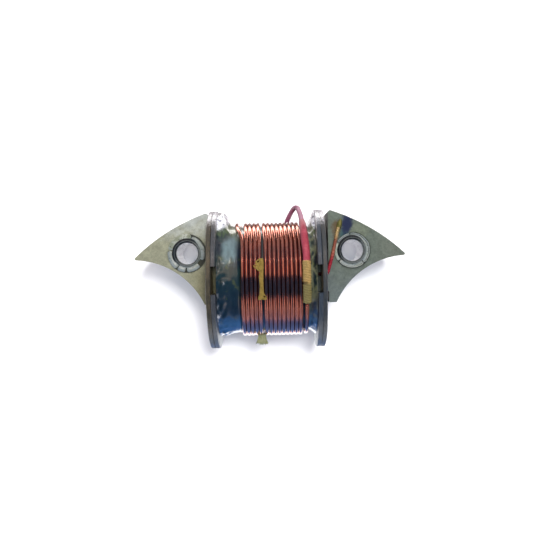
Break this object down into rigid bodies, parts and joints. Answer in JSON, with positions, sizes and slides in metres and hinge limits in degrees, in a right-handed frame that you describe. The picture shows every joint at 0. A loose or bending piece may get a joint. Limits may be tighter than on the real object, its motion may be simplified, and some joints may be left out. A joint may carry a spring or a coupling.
{
  "type": "ignition coil",
  "caption": "Low-tension ignition coil of a flywheel magneto: a round copper winding between fibre cheeks on a laminated pole shoe with two screw holes.",
  "frame": {"origin": "midway between the axes of the two screw holes, on the back face of the laminated core", "axes": "+X along the two holes, +Y towards the rotor that the curved pole faces follow, +Z along the holes, out of the front where the rolled flanges and the splice are"},
  "size_m": [0.0656, 0.0357, 0.0344],
  "materials": {
    "core_steel": "thin steel stampings with a yellow-green passivated, slightly mottled face; sheared edges are darker",
    "eyelet_steel": "plated steel tube with a dark rolled and cracked flange",
    "cheek_board": "olive-brown pressboard, varnished",
    "cheek_ply": "grey-lavender fibre, varnished and glossy on its inner face",
    "packing_fibre": "plain tan fibre",
    "insulation_paper": "tan kraft paper soaked in varnish",
    "inner_wire": null,
    "cambric": "blue-green to black varnished cambric, glossy",
    "outer_wire": null,
    "cotton_tape": "yellow cotton tape, varnished, frayed at its tail",
    "woven_sleeve": "yellow woven sleeve, varnished",
    "red_sleeving": "red sleeving, soft gloss",
    "lead_insulation": "red insulation of the flexible lead",
    "tinned_copper": "bare tinned copper",
    "earth_wire": "red enamelled copper wire, scraped bare and tinned towards its upper end",
    "solder": "dull tin solder with yellowed flux"
  },
  "bodies": {
    "root": {"lamination_01": "core_steel", "lamination_02": "core_steel", "lamination_03": "core_steel", "lamination_04": "core_steel", "lamination_05": "core_steel", "lamination_06": "core_steel", "lamination_07": "core_steel", "lamination_08": "core_steel", "lamination_09": "core_steel", "lamination_10": "core_steel", "lamination_11": "core_steel", "lamination_12": "core_steel", "lamination_13": "core_steel", "lamination_14": "core_steel", "eyelet_left": "eyelet_steel", "eyelet_right": "eyelet_steel", "cheek_left_outer": "cheek_board", "cheek_left_inner": "cheek_ply", "cheek_right_inner": "cheek_ply", "cheek_right_outer": "cheek_board", "core_packing_upper": "packing_fibre", "core_packing_lower": "packing_fibre", "core_insulation": "insulation_paper", "inner_winding": "inner_wire", "layer_paper_1": "insulation_paper", "layer_paper_2": "insulation_paper", "layer_paper_3": "insulation_paper", "cambric_wrap": "cambric", "outer_winding": "outer_wire", "tie_tape": "cotton_tape", "splice_sleeve": "woven_sleeve", "lead_sleeve": "red_sleeving", "lead_wire": "lead_insulation", "lead_tip": "tinned_copper", "earth_lead": "earth_wire", "solder_joint": "solder"}
  },
  "joints": []
}
